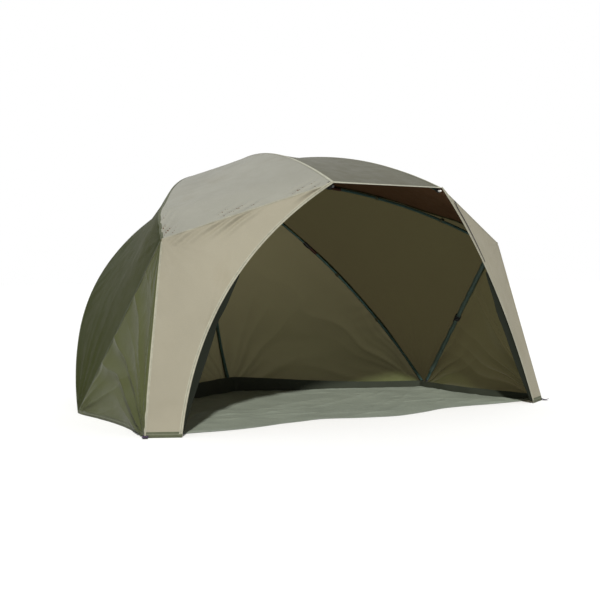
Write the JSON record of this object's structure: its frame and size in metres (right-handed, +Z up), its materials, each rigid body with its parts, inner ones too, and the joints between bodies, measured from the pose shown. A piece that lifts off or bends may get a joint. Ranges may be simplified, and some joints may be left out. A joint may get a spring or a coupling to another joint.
{
  "type": "fishing umbrella shelter",
  "caption": "Open-fronted fishing umbrella shelter: bowed ribs fold on one tilted crown, with corner legs, braces, panelled canopy, mud strip and groundsheet",
  "frame": {"origin": "centre of the bounding box on the ground", "axes": "+Z up, +X to the right of someone looking in, -Y out of the open front"},
  "size_m": [2.4262, 1.7544, 1.3549],
  "materials": {
    "poles": "dark green anodised, satin",
    "plastic": "moulded, satin black",
    "ferrules": "dark brown, satin",
    "steel": "plain",
    "canopy_cloth": "coated woven nylon, slight sheen",
    "wall_cloth": "coated woven nylon, slight sheen",
    "strip_cloth": "coated cloth, matt",
    "sheet_cloth": "reinforced sheet, matt"
  },
  "bodies": {
    "shelter": {"canopy_front_left": "canopy_cloth", "canopy_front_right": "canopy_cloth", "canopy_lower_left": "wall_cloth", "canopy_lower_right": "wall_cloth", "canopy_peak": "canopy_cloth", "canopy_rear_left": "wall_cloth", "canopy_rear_right": "wall_cloth", "canopy_roof_left": "canopy_cloth", "canopy_roof_right": "canopy_cloth", "canopy_side_left": "wall_cloth", "canopy_side_right": "wall_cloth", "crown": "plastic", "crown_cap": "plastic", "crown_ring": "steel", "crown_rivet": "steel", "groundsheet": "sheet_cloth", "mud_strip": "strip_cloth"},
    "rib_peak_right": {"rib_peak_right_inner": "poles", "joint_peak_right": "plastic", "ferrule_peak_right": "ferrules", "rib_peak_right_outer": "poles", "tip_peak_right": "plastic"},
    "rib_side_right": {"rib_side_right_inner": "poles", "joint_side_right": "plastic", "ferrule_side_right": "ferrules", "rib_side_right_outer": "poles", "corner_knuckle_right": "plastic"},
    "rib_rear_right": {"rib_rear_right_inner": "poles", "joint_rear_right": "plastic", "ferrule_rear_right": "ferrules", "rib_rear_right_outer": "poles", "foot_side_right": "plastic"},
    "rib_peak_left": {"rib_peak_left_inner": "poles", "joint_peak_left": "plastic", "ferrule_peak_left": "ferrules", "rib_peak_left_outer": "poles", "tip_peak_left": "plastic"},
    "rib_side_left": {"rib_side_left_inner": "poles", "joint_side_left": "plastic", "ferrule_side_left": "ferrules", "rib_side_left_outer": "poles", "corner_knuckle_left": "plastic"},
    "rib_rear_left": {"rib_rear_left_inner": "poles", "joint_rear_left": "plastic", "ferrule_rear_left": "ferrules", "rib_rear_left_outer": "poles", "foot_side_left": "plastic"},
    "rib_centre": {"rib_centre_inner": "poles", "joint_centre": "plastic", "ferrule_centre": "ferrules", "rib_centre_outer": "poles", "foot_rear": "plastic"},
    "leg_right": {"leg_right": "poles", "foot_front_right": "plastic"},
    "brace_right": {"brace_right": "poles", "brace_tip_right": "plastic"},
    "leg_left": {"leg_left": "poles", "foot_front_left": "plastic"},
    "brace_left": {"brace_left": "poles", "brace_tip_left": "plastic"}
  },
  "joints": [
    {"name": "frame_fold", "type": "hinge", "parent": "shelter", "child": "rib_centre", "pos_m": [0, 0.75682, 1.21018], "axis": [-1, 0, 0], "range_deg": [0, 29.51], "deforming": ["canopy_front_left", "canopy_front_right", "canopy_lower_left", "canopy_lower_right", "canopy_peak", "canopy_rear_left", "canopy_rear_right", "canopy_roof_left", "canopy_roof_right", "canopy_side_left", "canopy_side_right", "groundsheet", "mud_strip"]},
    {"name": "rib_peak_right_hinge", "type": "hinge", "parent": "shelter", "child": "rib_peak_right", "pos_m": [0.0134, 0.69462, 1.27238], "axis": [0.9547, 0.2105, -0.2105], "range_deg": [0, 30.64]},
    {"name": "rib_side_right_hinge", "type": "hinge", "parent": "shelter", "child": "rib_side_right", "pos_m": [0.03871, 0.70878, 1.25822], "axis": [0.5099, 0.6083, -0.6083], "range_deg": [0, 34.75]},
    {"name": "rib_rear_right_hinge", "type": "hinge", "parent": "shelter", "child": "rib_rear_right", "pos_m": [0.04125, 0.73771, 1.22929], "axis": [-0.3995, 0.6482, -0.6482], "range_deg": [0, 33.35]},
    {"name": "rib_peak_left_hinge", "type": "hinge", "parent": "shelter", "child": "rib_peak_left", "pos_m": [-0.0134, 0.69462, 1.27238], "axis": [0.9547, -0.2105, 0.2105], "range_deg": [0, 30.64]},
    {"name": "rib_side_left_hinge", "type": "hinge", "parent": "shelter", "child": "rib_side_left", "pos_m": [-0.03871, 0.70878, 1.25822], "axis": [0.5099, -0.6083, 0.6083], "range_deg": [0, 34.75]},
    {"name": "rib_rear_left_hinge", "type": "hinge", "parent": "shelter", "child": "rib_rear_left", "pos_m": [-0.04125, 0.73771, 1.22929], "axis": [-0.3995, -0.6482, 0.6482], "range_deg": [0, 33.35]},
    {"name": "leg_right_hinge", "type": "hinge", "parent": "rib_side_right", "child": "leg_right", "pos_m": [1.02255, -0.52853, 0.82719], "axis": [0.7641, 0.6447, 0.0234], "range_deg": [0, 112.95]},
    {"name": "brace_right_hinge", "type": "hinge", "parent": "rib_side_right", "child": "brace_right", "pos_m": [1.0265, -0.49313, 0.82705], "axis": [0.7523, 0.4678, 0.4639], "range_deg": [0, 72.16]},
    {"name": "leg_left_hinge", "type": "hinge", "parent": "rib_side_left", "child": "leg_left", "pos_m": [-1.02255, -0.52853, 0.82719], "axis": [0.7641, -0.6447, -0.0234], "range_deg": [0, 112.95]},
    {"name": "brace_left_hinge", "type": "hinge", "parent": "rib_side_left", "child": "brace_left", "pos_m": [-1.0265, -0.49313, 0.82705], "axis": [0.7523, -0.4678, -0.4639], "range_deg": [0, 72.16]}
  ],
  "couplings": [
    {"joint": "rib_peak_right_hinge", "follows": "frame_fold", "ratio": 1.0376},
    {"joint": "rib_side_right_hinge", "follows": "frame_fold", "ratio": 1.1766},
    {"joint": "rib_rear_right_hinge", "follows": "frame_fold", "ratio": 1.1293},
    {"joint": "rib_peak_left_hinge", "follows": "frame_fold", "ratio": 1.0376},
    {"joint": "rib_side_left_hinge", "follows": "frame_fold", "ratio": 1.1766},
    {"joint": "rib_rear_left_hinge", "follows": "frame_fold", "ratio": 1.1293},
    {"joint": "leg_right_hinge", "follows": "frame_fold", "ratio": 3.8268},
    {"joint": "brace_right_hinge", "follows": "frame_fold", "ratio": 2.4444},
    {"joint": "leg_left_hinge", "follows": "frame_fold", "ratio": 3.8268},
    {"joint": "brace_left_hinge", "follows": "frame_fold", "ratio": 2.4444}
  ]
}
